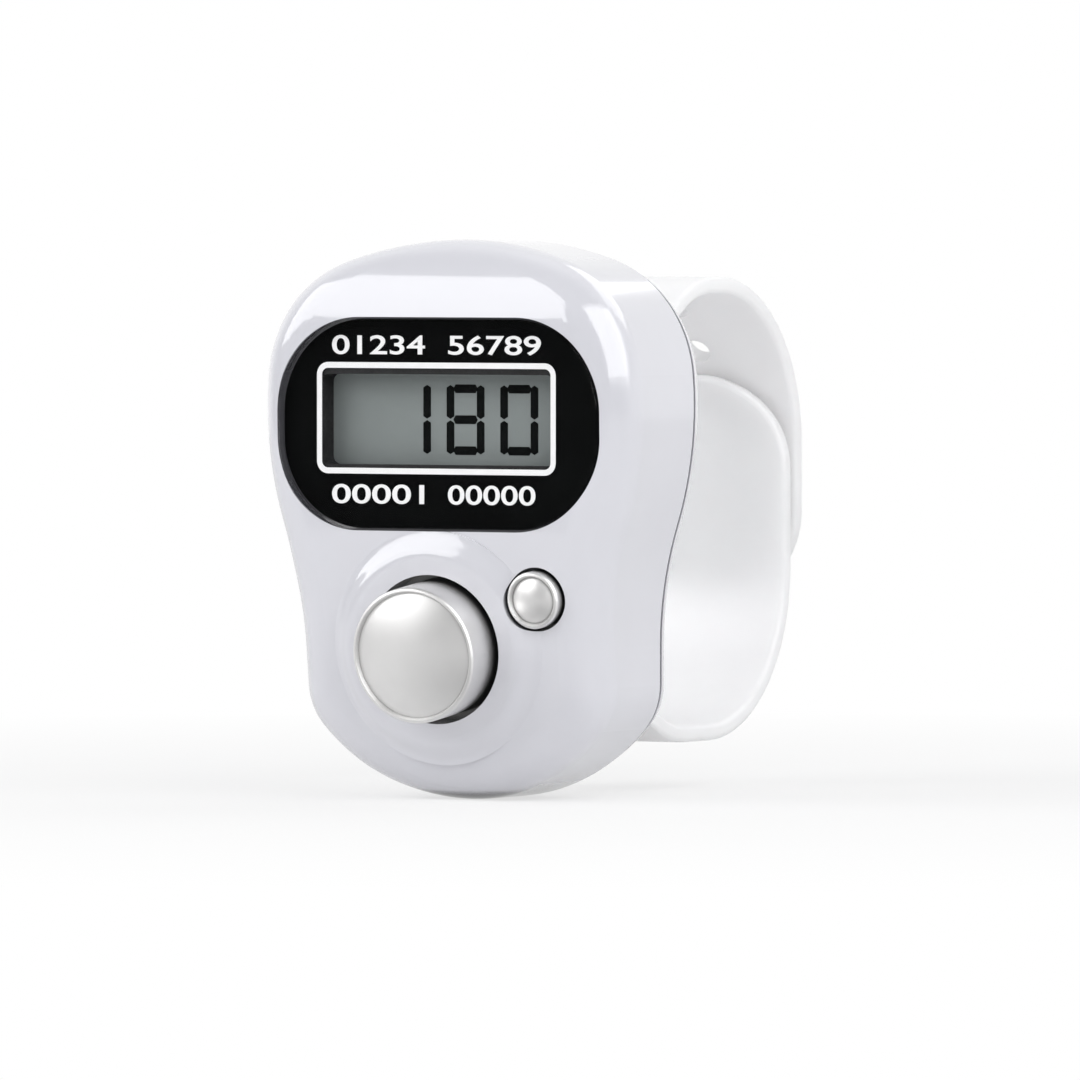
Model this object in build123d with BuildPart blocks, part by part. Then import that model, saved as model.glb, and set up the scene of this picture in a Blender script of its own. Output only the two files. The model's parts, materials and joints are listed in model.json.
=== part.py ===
from build123d import *

import os
from math import asin, cos, radians, sin, sqrt, tan

# Finger-worn digital counter: a pear-shaped case with a display and two push buttons, on an adjustable strap.
# X runs along the finger, to the right as seen from the front. Y runs from the face to the back. Z is up.
# The origin is the middle of the finger space, between the back of the case and the strap.
# Depths are measured backwards from the display face. All sizes are in millimetres.

# Case outline, seen from the front
body_height = 40.2
body_width = 30.4
waist_width = 24.9
widest_drop = 11.9
waist_rise = 11.1
top_radius = 27.0
shoulder_radius = 9.5
corner_radius = 4.8
bottom_radius = 15.0

# Case depth and rounding
body_depth = 13.6
split_depth = 10.6
wall = 1.6
front_round = 3.0
rear_round = 2.8
rear_step = 0.15
lip_height = 1.2
lip_thickness = 0.7
lip_root = 1.0
groove_width = 0.6
groove_depth = 0.6

# Front face, seen from the side: display flat, then a face that leans back, with rounded ends
face_top_drop = 6.3
face_top_radius = 7.5
bend_gap = 0.1
bend_radius = 30.0
face_tilt = 7.0
face_bottom_rise = 4.9
face_bottom_radius = 7.0

# Display window
lens_width = 26.1
lens_height = 15.0
lens_end_flat = 1.8
lens_drop = 13.2
lens_thickness = 0.9
mask_thickness = 0.1
window_width = 18.8
window_height = 7.2
window_corner = 0.6
window_x = -0.55
window_lift = 0.4
view_height = 6.5
view_drop = 0.1

# Liquid crystal display
lcd_setback = 1.3
lcd_width = 21.0
lcd_height = 8.2
lcd_ledge = 2.0
glass_thickness = 0.7
film_thickness = 0.2
lcd_frame_wall = 0.8
lcd_frame_chamfer = 0.7
collar_wall = 0.6
zebra_height = 1.7
zebra_length = 19.0
lcd_pad_width = 16.0
lcd_pad_height = 4.0

# Buttons
count_x = -0.3
count_rise = 11.0
count_radius = 4.9
count_hole_radius = 5.4
count_height = 3.8
count_travel = 0.8
reset_across = 8.3
reset_over = 3.6
reset_radius = 2.05
reset_hole_radius = 2.3
reset_height = 0.75
reset_travel = 0.6
button_flange = 0.5
button_flange_thickness = 0.6
button_wall = 1.0
rim_width = 0.4
rim_round = 0.25
rim_groove = 0.25
dome_share = 0.16
stem_radius = 1.0

# Raised round pad under the count button
pad_radius = 8.5
pad_height = 0.8
pad_shoulder = 2.0
pad_root = 0.6
pad_foot_slope = 0.15

# Circuit board
board_depth = 6.0
board_thickness = 0.8
board_inset = 2.2
board_screw_x = 9.9
board_post_radius = 1.5
board_screw_radius = 0.7
board_screw_head_radius = 1.3
board_screw_head = 0.7
board_screw_bite = 3.0
blob_radius = 3.2
blob_height = 1.1
blob_lift = 2.1
capacitor_length = 1.6
capacitor_width = 0.8
capacitor_height = 0.7
capacitor_rise = 8.6
capacitor_pitch = 3.2
capacitor_count = 3

# Push switches under the buttons
count_switch_size = 4.8
reset_switch_size = 3.6
switch_floor = 0.5
switch_wall = 0.5
switch_cover = 0.25
switch_flange = 0.4
switch_plunger_out = 0.7
switch_guide = 0.4
snap_sheet = 0.12
snap_spare = 0.1

# Button cell and its contacts
cell_radius = 5.8
cell_height = 3.1
cell_z = -1.4
cell_can_sheet = 0.35
cell_gasket = 0.6
cell_cap_proud = 0.4
cell_lift = 0.8
contact_sheet = 0.25
contact_width = 4.0
contact_reach = 3.0
contact_foot = 1.8
well_wall = 0.8
well_overlap = 2.4
press_rib_length = 5.0
press_rib_width = 2.4

# Case screws
case_screw_x = 8.2
case_screw_radius = 0.8
case_screw_head_radius = 1.5
case_screw_head = 0.9
case_screw_bite = 4.5
case_screw_seat = 1.6
boss_radius = 2.2
cross_length = 1.7
cross_width = 0.35
cross_depth = 0.4

# Strap
strap_width = 14.0
strap_thickness = 1.2
strap_gap = 0.6
strap_edge_round = 0.35
finger_depth = 26.4
strap_corner_radius = 12.5
upper_root_drop = 9.9
lower_root_rise = 7.1
upper_ramp_rise = 7.1
lower_ramp_drop = 3.6
root_lead = 2.4
root_bend = 5.0
upper_ramp = 10.4
lower_ramp = 7.0
ramp_bend = 9.0
upper_tip_reach = 24.3
lower_tip_reach = 26.6
bead_height = 2.4
bead_depth = 1.3
hole_count = 5
hole_pitch = 5.0
hole_radius = 1.0
lowest_hole_rise = 4.7
stud_count = 2
stud_neck_radius = 0.85
stud_head_radius = 1.5
stud_head = 0.9

# Clearances
seat_gap = 0.05
fit_gap = 0.15
slide_gap = 0.3
spare = 1.0

# Places that follow from the sizes above
top_z = body_height / 2
bottom_z = -body_height / 2
face_y = -(finger_depth / 2 + body_depth)
back_y = face_y + body_depth
lens_corner = (lens_height - lens_end_flat) / 2
lens_z = top_z - lens_drop
window_z = lens_z + window_lift
face_top_z = top_z - face_top_drop
face_bottom_z = bottom_z + face_bottom_rise
bend_z = lens_z - lens_height / 2 - bend_gap
count_z = bottom_z + count_rise
reset_x = count_x + reset_across
reset_z = count_z + reset_over
upper_root_z = top_z - upper_root_drop
lower_root_z = bottom_z + lower_root_rise
strap_top_z = upper_root_z + upper_ramp_rise
strap_bottom_z = lower_root_z - lower_ramp_drop
upper_tip_z = strap_top_z - upper_tip_reach
lower_tip_z = strap_bottom_z + lower_tip_reach
mask_depth = lens_thickness + seat_gap
ledge_depth = mask_depth + mask_thickness
lcd_depth = wall + lcd_setback
glass_back_depth = lcd_depth + film_thickness + glass_thickness
board_back = board_depth + board_thickness
cell_front = board_back + cell_lift
cell_back = cell_front + cell_height
rear_inner = body_depth - wall
lcd_foot_z = window_z - lcd_height / 2 - lcd_ledge
frame_top_z = window_z + lcd_height / 2 + fit_gap + lcd_frame_wall
frame_foot_z = lcd_foot_z - fit_gap - lcd_frame_wall
upper_screw_z = max(frame_top_z, upper_root_z + bead_height / 2) + boss_radius + fit_gap
lower_screw_z = lower_root_z - bead_height / 2 - boss_radius - fit_gap
board_screw_z = frame_foot_z - board_post_radius - fit_gap
collar_width = window_width + 2 * fit_gap + 2 * collar_wall
collar_height = window_height + 2 * fit_gap + 2 * collar_wall
collar_corner = window_corner + collar_wall
case_screw_places = [(-case_screw_x, upper_screw_z), (case_screw_x, upper_screw_z), (0, lower_screw_z)]
board_screw_places = [(-board_screw_x, board_screw_z), (board_screw_x, board_screw_z)]


def at_depth(depth):
    """Front-view plane at a depth behind the display face: x is X, y is Z, and it faces the front."""
    return Plane.XZ.offset(-(face_y + depth))


def meeting(centre_a, radius_a, centre_b, radius_b):
    """Right-hand point where two circles cross."""
    line = centre_b - centre_a
    along = (line.length**2 + radius_a**2 - radius_b**2) / (2 * line.length)
    off = sqrt(radius_a**2 - along**2)
    unit = line.normalized()
    return centre_a + unit * along + Vector(unit.Y, -unit.X) * off


def arc(centre, start, end):
    """Arc round a centre, the short way from start to end."""
    middle = (start + end) * 0.5 - centre
    return ThreePointArc(start, centre + middle.normalized() * (start - centre).length, end)


def cap_middle(radius, rise):
    """Halfway point on a spherical cap's section: its distance from the axis and its drop from the crown."""
    sphere = (radius**2 + rise**2) / (2 * rise)
    half = asin(radius / sphere) / 2
    return sphere * sin(half), sphere * (1 - cos(half))


def toward(centre, target, distance):
    """Point at a distance from a centre, on the line to a target."""
    return centre + (target - centre).normalized() * distance


def case_outline(depth, inset):
    """Front view of the case in tangent arcs, drawn in by inset all round."""
    half_width = body_width / 2
    half_waist = waist_width / 2
    widest_z = top_z - widest_drop
    waist_z = bottom_z + waist_rise
    narrowing = half_width - half_waist
    side_radius = (narrowing**2 + (widest_z - waist_z) ** 2) / (4 * narrowing)
    top_centre = Vector(0, top_z - top_radius)
    side_centre = Vector(half_width - side_radius, widest_z)
    waist_centre = Vector(half_waist + side_radius, waist_z)
    shoulder_centre = meeting(
        top_centre, top_radius - shoulder_radius, side_centre, side_radius - shoulder_radius
    )
    bottom_centre = Vector(0, bottom_z + bottom_radius)
    corner_x = half_waist - corner_radius
    corner_drop = sqrt((bottom_radius - corner_radius) ** 2 - corner_x**2)
    corner_centre = Vector(corner_x, bottom_centre.Y - corner_drop)

    top = Vector(0, top_z - inset)
    top_end = toward(top_centre, shoulder_centre, top_radius - inset)
    shoulder_end = toward(side_centre, shoulder_centre, side_radius - inset)
    side_end = toward(side_centre, waist_centre, side_radius - inset)
    waist = Vector(half_waist - inset, waist_z)
    corner = Vector(half_waist - inset, corner_centre.Y)
    corner_end = toward(bottom_centre, corner_centre, bottom_radius - inset)
    bottom = Vector(0, bottom_z + inset)
    with BuildSketch(at_depth(depth)) as outline:
        with BuildLine():
            arc(top_centre, top, top_end)
            arc(shoulder_centre, top_end, shoulder_end)
            arc(side_centre, shoulder_end, side_end)
            arc(waist_centre, side_end, waist)
            Line(waist, corner)
            arc(corner_centre, corner, corner_end)
            arc(bottom_centre, corner_end, bottom)
            mirror(about=Plane.YZ)
        make_face()
    return outline.sketch


# The leaning face starts where the bend ends
tilt = radians(face_tilt)
lean_start = Vector(bend_radius * (1 - cos(tilt)), bend_z - bend_radius * sin(tilt))


def lean_depth(z):
    """Depth of the leaning face at a height."""
    return lean_start.X + (lean_start.Y - z) * tan(tilt)


def front_profile(inset):
    """Side view of the front half, drawn in by inset: rounded top, flat, leaning face and rounded bottom."""
    outward = Vector(-cos(tilt), -sin(tilt))
    top_centre = Vector(face_top_radius, face_top_z)
    bend_centre = Vector(bend_radius, bend_z)
    lean_end = Vector(lean_depth(face_bottom_z), face_bottom_z)
    bottom_centre = lean_end - outward * face_bottom_radius
    top = top_centre + Vector(0, face_top_radius - inset)
    flat_top = Vector(inset, face_top_z)
    flat_end = Vector(inset, bend_z)
    bend_end = bend_centre + outward * (bend_radius - inset)
    bottom_start = bottom_centre + outward * (face_bottom_radius - inset)
    bottom = bottom_centre - Vector(0, face_bottom_radius - inset)
    behind = body_depth + spare
    with BuildSketch(Plane((-body_width, face_y, 0), x_dir=(0, 1, 0), z_dir=(1, 0, 0))) as profile:
        with BuildLine():
            arc(top_centre, top, flat_top)
            Line(flat_top, flat_end)
            arc(bend_centre, flat_end, bend_end)
            Line(bend_end, bottom_start)
            arc(bottom_centre, bottom_start, bottom)
            Polyline(bottom, (behind, bottom.Y), (behind, top.Y), top)
        make_face()
    return profile.sketch


def rounded_front(inset):
    """Solid front half of the case, drawn in by inset."""
    with BuildPart() as body:
        extrude(case_outline(split_depth, inset), amount=split_depth + spare)
        extrude(front_profile(inset), amount=2 * body_width, mode=Mode.INTERSECT)
        split_y = face_y + split_depth
        rim = body.edges().filter_by(Axis.X, reverse=True).filter_by(Axis.Y, reverse=True)
        rim = rim.filter_by(lambda edge: edge.center().Y < split_y - seat_gap)
        fillet(rim, front_round - inset)
    return body.part


def rounded_rear(inset):
    """Solid rear half of the case, drawn in by inset."""
    with BuildPart() as body:
        extrude(case_outline(split_depth, rear_step + inset), amount=split_depth + inset - body_depth)
        fillet(body.faces().sort_by(Axis.Y)[-1].edges(), rear_round - inset)
    return body.part


class ButtonAxis:
    """A button's axis: it leaves the leaning face at right angles, at a place seen from the front."""

    def __init__(self, x, z):
        self.centre = Vector(x, face_y + lean_depth(z), z)
        self.outward = Vector(0, -cos(tilt), -sin(tilt))
        self.axis = Axis(self.centre, self.outward)
        self.face = Plane(self.centre, x_dir=(1, 0, 0), z_dir=self.outward)
        self.section = Plane(self.centre, x_dir=(1, 0, 0), z_dir=(0, sin(tilt), -cos(tilt)))
        self.depth = lean_depth(z)
        board_z = z + (board_depth - self.depth) * tan(tilt)
        self.board_place = (x, board_z)


count_axis = ButtonAxis(count_x, count_z)
reset_axis = ButtonAxis(reset_x, reset_z)
count_flange_radius = count_hole_radius + button_flange
reset_flange_radius = reset_hole_radius + button_flange
switch_well = switch_flange + max(count_travel, reset_travel) + snap_spare + seat_gap
switch_base_front = board_depth - switch_floor - switch_well
switch_cover_front = switch_base_front - switch_cover
plunger_front = switch_cover_front - switch_plunger_out


def front_posts():
    """Posts inside the front shell for the case screws and the board screws."""
    with BuildPart() as posts:
        with BuildSketch(at_depth(split_depth)):
            with Locations(*case_screw_places):
                Circle(boss_radius)
        extrude(amount=split_depth)
        with BuildSketch(at_depth(board_depth)):
            with Locations(*board_screw_places):
                Circle(board_post_radius)
        extrude(amount=board_depth)
        add(rounded_front(wall / 2), mode=Mode.INTERSECT)
    return posts.part


def raised_pad(place):
    """Round pad with a soft shoulder and foot, square to a button's axis."""
    crest = (pad_radius - pad_shoulder, pad_height)
    with BuildPart() as pad:
        with BuildSketch(place.section):
            with BuildLine():
                Polyline((0, pad_height), (0, -pad_root), (pad_radius, -pad_root), (pad_radius, 0))
                Spline((pad_radius, 0), crest, tangents=[(-1, pad_foot_slope), (-1, 0)])
                Line(crest, (0, pad_height))
            make_face()
        revolve(axis=place.axis)
    return pad.part


# Front shell: thin-walled moulding with a lens recess, a raised pad for the count button, and screw posts
with BuildPart() as front_shell:
    add(rounded_front(0))
    add(raised_pad(count_axis))
    add(rounded_front(wall), mode=Mode.SUBTRACT)
    add(front_posts())
    with BuildSketch(at_depth(-spare)):
        with Locations((0, lens_z)):
            RectangleRounded(lens_width + 2 * fit_gap, lens_height + 2 * fit_gap, lens_corner + fit_gap)
    extrude(amount=-(ledge_depth + spare), mode=Mode.SUBTRACT)
    with BuildSketch(at_depth(0)):
        with Locations((window_x, window_z)):
            RectangleRounded(collar_width + 2 * fit_gap, collar_height + 2 * fit_gap, collar_corner + fit_gap)
    extrude(amount=-(wall + fit_gap), mode=Mode.SUBTRACT)
    for place, hole, flange, travel in [
        (count_axis, count_hole_radius, count_flange_radius, count_travel),
        (reset_axis, reset_hole_radius, reset_flange_radius, reset_travel),
    ]:
        with BuildSketch(place.face.offset(pad_height + spare)):
            Circle(hole)
        extrude(amount=-(pad_height + 2 * spare + wall), mode=Mode.SUBTRACT)
        with BuildSketch(place.face.offset(-wall)):
            Circle(flange + slide_gap)
        extrude(amount=-(button_flange_thickness + travel + slide_gap), mode=Mode.SUBTRACT)
    with BuildSketch(at_depth(split_depth)):
        with Locations(*case_screw_places):
            Circle(case_screw_radius + seat_gap)
    extrude(amount=case_screw_bite, mode=Mode.SUBTRACT)
    with BuildSketch(at_depth(board_depth)):
        with Locations(*board_screw_places):
            Circle(board_screw_radius + seat_gap)
    extrude(amount=board_screw_bite, mode=Mode.SUBTRACT)


def rear_bosses():
    """Tubes inside the rear shell that meet the front shell's posts."""
    with BuildPart() as bosses:
        with BuildSketch(at_depth(split_depth)):
            with Locations(*case_screw_places):
                Circle(boss_radius)
        extrude(amount=split_depth - body_depth)
        add(rounded_rear(wall / 2), mode=Mode.INTERSECT)
    return bosses.part


# Rear shell: shallow pan with a lip inside the front shell, a groove at the parting line, screw tubes, strap
# slots and a well for the cell
with BuildPart() as rear_shell:
    add(rounded_rear(0))
    add(rounded_rear(wall), mode=Mode.SUBTRACT)
    with BuildSketch(at_depth(split_depth)):
        add(case_outline(split_depth, 0))
        add(case_outline(split_depth, rear_step + groove_depth), mode=Mode.SUBTRACT)
    extrude(amount=-groove_width, mode=Mode.SUBTRACT)
    with BuildSketch(at_depth(split_depth + lip_root)):
        add(case_outline(split_depth, wall + fit_gap).moved(Location((0, lip_root, 0))))
        add(
            case_outline(split_depth, wall + fit_gap + lip_thickness).moved(Location((0, lip_root, 0))),
            mode=Mode.SUBTRACT,
        )
    extrude(amount=lip_root + lip_height)
    with BuildSketch(at_depth(split_depth)):
        with Locations(*case_screw_places):
            Circle(boss_radius + fit_gap)
    extrude(amount=lip_height + spare, mode=Mode.SUBTRACT)
    add(rear_bosses())
    with BuildSketch(at_depth(rear_inner)):
        with Locations((0, cell_z)):
            Circle(cell_radius + fit_gap + well_wall)
            Circle(cell_radius + fit_gap, mode=Mode.SUBTRACT)
        with Locations((cell_radius + well_wall, cell_z)):
            Rectangle(cell_radius, contact_width + 2 * slide_gap, mode=Mode.SUBTRACT)
    extrude(amount=well_overlap + rear_inner - cell_back)
    with BuildSketch(at_depth(rear_inner)):
        with Locations((0, cell_z)):
            Rectangle(press_rib_width, press_rib_length)
    extrude(amount=rear_inner - cell_back - contact_sheet - seat_gap)
    with BuildSketch(at_depth(split_depth)):
        with Locations(*case_screw_places):
            Circle(case_screw_radius + fit_gap)
    extrude(amount=-body_depth, mode=Mode.SUBTRACT)
    with BuildSketch(at_depth(split_depth + case_screw_seat)):
        with Locations(*case_screw_places):
            Circle(case_screw_head_radius + fit_gap)
    extrude(amount=-body_depth, mode=Mode.SUBTRACT)
    with BuildSketch(at_depth(rear_inner - seat_gap)):
        with Locations((0, upper_root_z), (0, lower_root_z)):
            Rectangle(strap_width + 2 * fit_gap, strap_thickness + 2 * fit_gap)
    extrude(amount=-(wall + spare), mode=Mode.SUBTRACT)


# Display lens: clear plate let into the front shell
with BuildPart() as display_lens:
    with BuildSketch(at_depth(0)):
        with Locations((0, lens_z)):
            RectangleRounded(lens_width, lens_height, lens_corner)
    extrude(amount=-lens_thickness)
    chamfer(display_lens.faces().sort_by(Axis.Y)[0].edges(), mask_thickness)

# Lens mask: dark printed film behind the lens, open at the window
with BuildPart() as lens_mask:
    with BuildSketch(at_depth(mask_depth)):
        with Locations((0, lens_z)):
            RectangleRounded(lens_width, lens_height, lens_corner)
        with Locations((window_x, window_z)):
            RectangleRounded(window_width, window_height, window_corner, mode=Mode.SUBTRACT)
    extrude(amount=-mask_thickness)


def lcd_sheet(front, thickness, height, middle_z):
    """One layer of the display, as wide as its glass."""
    with BuildPart() as sheet:
        with BuildSketch(at_depth(front)):
            with Locations((window_x, middle_z)):
                Rectangle(lcd_width, height)
        extrude(amount=-thickness)
    return sheet


# Display layers, front to back; the front glass reaches down past the others as a contact ledge
lcd_polariser = lcd_sheet(lcd_depth, film_thickness, lcd_height, window_z)
lcd_front_glass = lcd_sheet(
    lcd_depth + film_thickness, glass_thickness, lcd_height + lcd_ledge, window_z - lcd_ledge / 2
)
lcd_rear_glass = lcd_sheet(glass_back_depth, glass_thickness, lcd_height, window_z)
lcd_reflector = lcd_sheet(glass_back_depth + glass_thickness, film_thickness, lcd_height, window_z)
lcd_back = glass_back_depth + glass_thickness + film_thickness

# Display frame: box between the front shell and the board, stepped to carry the glass, with a collar that
# lines the window in the shell
with BuildPart() as lcd_frame:
    pocket_width = lcd_width + 2 * fit_gap
    pocket_height = lcd_height + lcd_ledge + 2 * fit_gap
    with BuildSketch(at_depth(wall)):
        with Locations((window_x, window_z - lcd_ledge / 2)):
            RectangleRounded(
                pocket_width + 2 * lcd_frame_wall, pocket_height + 2 * lcd_frame_wall, lcd_frame_wall
            )
    extrude(amount=-(board_depth - wall))
    chamfer(lcd_frame.faces().sort_by(Axis.Y)[0].edges(), lcd_frame_chamfer)
    with BuildSketch(at_depth(ledge_depth + seat_gap)):
        with Locations((window_x, window_z)):
            RectangleRounded(collar_width, collar_height, collar_corner)
    extrude(amount=-(lcd_depth - ledge_depth - seat_gap))
    with BuildSketch(at_depth(lcd_depth)):
        with Locations((window_x, window_z - lcd_ledge / 2)):
            Rectangle(pocket_width, pocket_height)
    extrude(amount=-board_depth, mode=Mode.SUBTRACT)
    with BuildSketch(at_depth(0)):
        with Locations((window_x, window_z - view_drop)):
            RectangleRounded(window_width + 2 * fit_gap, view_height, window_corner)
    extrude(amount=-board_depth, mode=Mode.SUBTRACT)

# Zebra strip: rubber connector from the glass ledge to the board
with BuildPart() as zebra_strip:
    with BuildSketch(at_depth(glass_back_depth)):
        with Locations((window_x, lcd_foot_z + fit_gap + zebra_height / 2)):
            Rectangle(zebra_length, zebra_height)
    extrude(amount=-(board_depth - glass_back_depth))

# Foam pad that backs the display
with BuildPart() as lcd_pad:
    with BuildSketch(at_depth(lcd_back)):
        with Locations((window_x, window_z)):
            Rectangle(lcd_pad_width, lcd_pad_height)
    extrude(amount=-(board_depth - lcd_back))

# Circuit board: follows the case, notched round the screw posts
with BuildPart() as circuit_board:
    with BuildSketch(at_depth(board_depth)):
        add(case_outline(board_depth, board_inset))
        with Locations(*case_screw_places):
            Circle(boss_radius + slide_gap, mode=Mode.SUBTRACT)
        with Locations(*board_screw_places):
            Circle(board_screw_radius + fit_gap, mode=Mode.SUBTRACT)
    extrude(amount=-board_thickness)

# Chip under its dome of resin
with BuildPart() as chip_blob:
    with BuildSketch(Plane.XY.offset(window_z + blob_lift)):
        with BuildLine():
            foot_y = face_y + board_back
            crown_y = foot_y + blob_height
            middle, drop = cap_middle(blob_radius, blob_height)
            Polyline((0, crown_y), (0, foot_y), (blob_radius, foot_y))
            ThreePointArc((blob_radius, foot_y), (middle, crown_y - drop), (0, crown_y))
        make_face()
    revolve(axis=Axis((0, face_y, window_z + blob_lift), (0, 1, 0)))

# Small parts soldered to the back of the board
with BuildPart() as chip_capacitors:
    with BuildSketch(at_depth(board_back)):
        with Locations((0, bottom_z + capacitor_rise)):
            with GridLocations(capacitor_pitch, 1, capacitor_count, 1):
                Rectangle(capacitor_length, capacitor_width)
    extrude(amount=-capacitor_height)


def cross_cut(places, depth):
    """Cross recess for a screwdriver, cut into heads whose backs are at a depth."""
    with BuildSketch(at_depth(depth - cross_depth)) as cross:
        with Locations(*places):
            Rectangle(cross_length, cross_width)
            Rectangle(cross_width, cross_length)
    return cross.sketch


# Board screws
with BuildPart() as board_screws:
    with BuildSketch(at_depth(board_back)):
        with Locations(*board_screw_places):
            Circle(board_screw_head_radius)
    extrude(amount=-board_screw_head)
    with BuildSketch(at_depth(board_back)):
        with Locations(*board_screw_places):
            Circle(board_screw_radius)
    extrude(amount=board_thickness + board_screw_bite - seat_gap)
    extrude(cross_cut(board_screw_places, board_back + board_screw_head), amount=-spare, mode=Mode.SUBTRACT)

# Case screws, let in from the back
with BuildPart() as case_screws:
    head_front = split_depth + case_screw_seat
    with BuildSketch(at_depth(head_front)):
        with Locations(*case_screw_places):
            Circle(case_screw_head_radius)
    extrude(amount=-case_screw_head)
    with BuildSketch(at_depth(head_front)):
        with Locations(*case_screw_places):
            Circle(case_screw_radius)
    extrude(amount=case_screw_seat + case_screw_bite - seat_gap)
    extrude(cross_cut(case_screw_places, head_front + case_screw_head), amount=-spare, mode=Mode.SUBTRACT)


def domed_cap(place, foot, radius, rise):
    """Shallow cap of a sphere on a button's axis, over a circle at a height, with a short plug below it."""
    sphere = (radius**2 + rise**2) / (2 * rise)
    centre = place.centre + place.outward * (foot + rise - sphere)
    with BuildPart() as cap:
        with Locations(Plane(centre, x_dir=-place.outward, z_dir=(1, 0, 0))):
            Sphere(sphere)
        with BuildSketch(place.face.offset(foot - rise)):
            Circle(radius)
        extrude(amount=2 * rise, mode=Mode.INTERSECT)
    return cap.part


def push_button(place, radius, height, flange_radius):
    """Turned button: flange behind the wall, straight side, rounded rim, shallow groove and domed face."""
    flange_top = -(wall + seat_gap)
    flange_bottom = flange_top - button_flange_thickness
    dome_radius = radius - rim_width
    dome_foot = height - rim_groove
    hollow_radius = radius - button_wall
    tip_depth = plunger_front - seat_gap - stem_radius
    tip_height = (place.depth - tip_depth) / cos(tilt)
    with BuildPart() as button:
        with BuildSketch(place.section):
            with BuildLine():
                Polyline(
                    (0, flange_bottom),
                    (flange_radius, flange_bottom),
                    (flange_radius, flange_top),
                    (radius, flange_top),
                    (radius, height - rim_round),
                )
                RadiusArc((radius, height - rim_round), (radius - rim_round, height), -rim_round)
                Polyline(
                    (radius - rim_round, height),
                    (dome_radius, dome_foot),
                    (0, dome_foot),
                    (0, flange_bottom),
                )
            make_face()
        revolve(axis=place.axis)
        add(domed_cap(place, dome_foot, dome_radius, dome_radius * dome_share + rim_groove))
        if hollow_radius > stem_radius + button_wall:
            with BuildSketch(place.face.offset(flange_bottom)):
                Circle(hollow_radius)
                Circle(stem_radius, mode=Mode.SUBTRACT)
            extrude(amount=height - button_wall - flange_bottom, mode=Mode.SUBTRACT)
        with BuildSketch(place.face.offset(flange_bottom + seat_gap)):
            Circle(stem_radius)
        extrude(amount=tip_height - flange_bottom - seat_gap)
        with BuildSketch(place.section):
            with BuildLine():
                CenterArc((0, tip_height), stem_radius, -90, 180)
                Line((0, tip_height + stem_radius), (0, tip_height - stem_radius))
            make_face()
        revolve(axis=place.axis)
    return button


count_button = push_button(count_axis, count_radius, count_height, count_flange_radius)
reset_button = push_button(reset_axis, reset_radius, reset_height, reset_flange_radius)


def switch_well_radius(size):
    """Radius of the round well in a switch of a given size."""
    return size / 2 - switch_wall


def switch_base(place, size):
    """Moulded switch body with a round well."""
    with BuildPart() as base:
        with BuildSketch(at_depth(switch_base_front)):
            with Locations(place.board_place):
                RectangleRounded(size, size, switch_wall / 2)
        extrude(amount=switch_base_front - board_depth)
        with BuildSketch(at_depth(switch_base_front)):
            with Locations(place.board_place):
                Circle(switch_well_radius(size))
        extrude(amount=-switch_well, mode=Mode.SUBTRACT)
    return base


def switch_lid(place, size):
    """Sheet cover of a switch, with a hole for the plunger."""
    with BuildPart() as lid:
        with BuildSketch(at_depth(switch_cover_front)):
            with Locations(place.board_place):
                RectangleRounded(size, size, switch_wall / 2)
                Circle(switch_well_radius(size) - switch_guide, mode=Mode.SUBTRACT)
        extrude(amount=-switch_cover)
    return lid


def switch_plunger(place, size):
    """Plunger that the button pushes, held in by a flange under the cover."""
    with BuildPart() as plunger:
        with BuildSketch(at_depth(plunger_front)):
            with Locations(place.board_place):
                Circle(switch_well_radius(size) - switch_guide - slide_gap)
        extrude(amount=plunger_front - switch_base_front - seat_gap - switch_flange)
        with BuildSketch(at_depth(switch_base_front + seat_gap)):
            with Locations(place.board_place):
                Circle(switch_well_radius(size) - fit_gap)
        extrude(amount=-switch_flange)
    return plunger


def switch_snap(place, size):
    """Sprung metal dome under the plunger."""
    radius = switch_well_radius(size) - fit_gap
    floor_y = face_y + board_depth - switch_floor
    rise = switch_well - seat_gap - switch_flange - seat_gap
    x, z = place.board_place
    with BuildPart() as snap:
        with BuildSketch(Plane.XY.offset(z)):
            with BuildLine():
                outer, outer_drop = cap_middle(radius, rise)
                inner, inner_drop = cap_middle(radius - snap_sheet, rise - snap_sheet)
                crown = floor_y - rise
                ThreePointArc((x + radius, floor_y), (x + outer, crown + outer_drop), (x, crown))
                Line((x, crown), (x, crown + snap_sheet))
                ThreePointArc(
                    (x, crown + snap_sheet),
                    (x + inner, crown + snap_sheet + inner_drop),
                    (x + radius - snap_sheet, floor_y),
                )
                Line((x + radius - snap_sheet, floor_y), (x + radius, floor_y))
            make_face()
        revolve(axis=Axis((x, floor_y, z), (0, 1, 0)))
    return snap


count_switch_base = switch_base(count_axis, count_switch_size)
count_switch_cover = switch_lid(count_axis, count_switch_size)
count_switch_plunger = switch_plunger(count_axis, count_switch_size)
count_switch_dome = switch_snap(count_axis, count_switch_size)
reset_switch_base = switch_base(reset_axis, reset_switch_size)
reset_switch_cover = switch_lid(reset_axis, reset_switch_size)
reset_switch_plunger = switch_plunger(reset_axis, reset_switch_size)
reset_switch_dome = switch_snap(reset_axis, reset_switch_size)

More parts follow.
